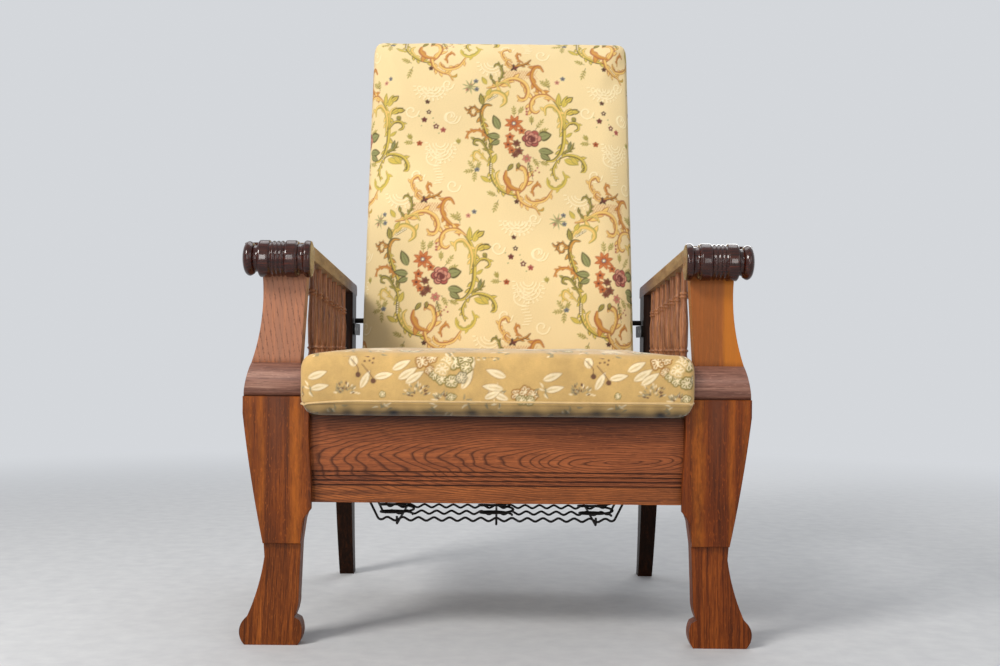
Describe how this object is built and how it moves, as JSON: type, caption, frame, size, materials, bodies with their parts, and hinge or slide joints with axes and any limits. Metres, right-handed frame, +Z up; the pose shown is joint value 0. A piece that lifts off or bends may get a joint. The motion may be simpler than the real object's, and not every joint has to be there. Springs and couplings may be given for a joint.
{
  "type": "reclining armchair",
  "caption": "Oak armchair with shaped front legs, turned arm rolls, spindled sides, a loose seat cushion and a padded back that reclines on hinges against an iron rod.",
  "frame": {"origin": "on the floor, at the middle of the whole chair's width and depth with the back upright", "axes": "+X to the right seen from the front, +Y to the back, +Z up; the chair faces -Y"},
  "size_m": [0.752, 0.7468, 1.0478],
  "materials": {
    "oak": "satin oiled oak",
    "dark_oak": "dark stained oak",
    "mahogany": "polished red-brown",
    "plain_wood": "planed, hidden",
    "black_iron": "black iron",
    "hinge_steel": "dull steel",
    "tapestry": "woven cream tapestry with a floral scroll pattern",
    "cushion_velvet": "gold-beige figured velvet",
    "plain_cloth": "plain linen"
  },
  "bodies": {
    "frame": {"arm_board_left": "oak", "arm_board_right": "oak", "arm_roll_left": "mahogany", "arm_roll_right": "mahogany", "cross_wires": "black_iron", "deck_cloth": "plain_cloth", "fixed_leaf_left": "hinge_steel", "fixed_leaf_right": "hinge_steel", "frame_screws": "hinge_steel", "front_leg_left": "oak", "front_leg_right": "oak", "front_rail": "oak", "hinge_pins": "hinge_steel", "leg_block_left": "oak", "leg_block_right": "oak", "leg_moulding_left": "dark_oak", "leg_moulding_right": "dark_oak", "length_wires": "black_iron", "rack_left": "black_iron", "rack_right": "black_iron", "rear_post_left": "dark_oak", "rear_post_right": "dark_oak", "rear_rail": "oak", "side_rail_left": "oak", "side_rail_right": "oak", "spindle_left_1": "dark_oak", "spindle_left_2": "dark_oak", "spindle_left_3": "dark_oak", "spindle_left_4": "dark_oak", "spindle_left_5": "dark_oak", "spindle_left_6": "dark_oak", "spindle_left_7": "dark_oak", "spindle_right_1": "dark_oak", "spindle_right_2": "dark_oak", "spindle_right_3": "dark_oak", "spindle_right_4": "dark_oak", "spindle_right_5": "dark_oak", "spindle_right_6": "dark_oak", "spindle_right_7": "dark_oak", "spring_front_centre": "black_iron", "spring_front_left": "black_iron", "spring_front_right": "black_iron", "spring_middle_centre": "black_iron", "spring_middle_left": "black_iron", "spring_middle_right": "black_iron", "spring_rear_centre": "black_iron", "spring_rear_left": "black_iron", "spring_rear_right": "black_iron"},
    "backrest": {"back_stile_left": "plain_wood", "back_stile_right": "plain_wood", "moving_leaf_left": "hinge_steel", "moving_leaf_right": "hinge_steel", "back_top_rail": "plain_wood", "back_bottom_rail": "plain_wood", "back_pad": "tapestry", "back_cloth": "plain_cloth", "back_screws": "hinge_steel"},
    "support_rod": {"support_rod": "black_iron"},
    "seat_cushion": {"seat_cushion": "cushion_velvet"}
  },
  "joints": [
    {"name": "backrest_recline", "type": "hinge", "parent": "frame", "child": "backrest", "pos_m": [0, 0.17323, 0.341], "axis": [-1, 0, 0], "range_deg": [0, 18]},
    {"name": "rod_slide", "type": "slide", "parent": "frame", "child": "support_rod", "axis": [0, 1, 0], "range_m": [0, 0.0585]},
    {"name": "cushion_lift", "type": "slide", "parent": "frame", "child": "seat_cushion", "axis": [0, 0, 1], "range_m": [0, 0.09]}
  ],
  "couplings": [
    {"joint": "rod_slide", "follows": "backrest_recline", "m_per_rad": 0.18583}
  ]
}
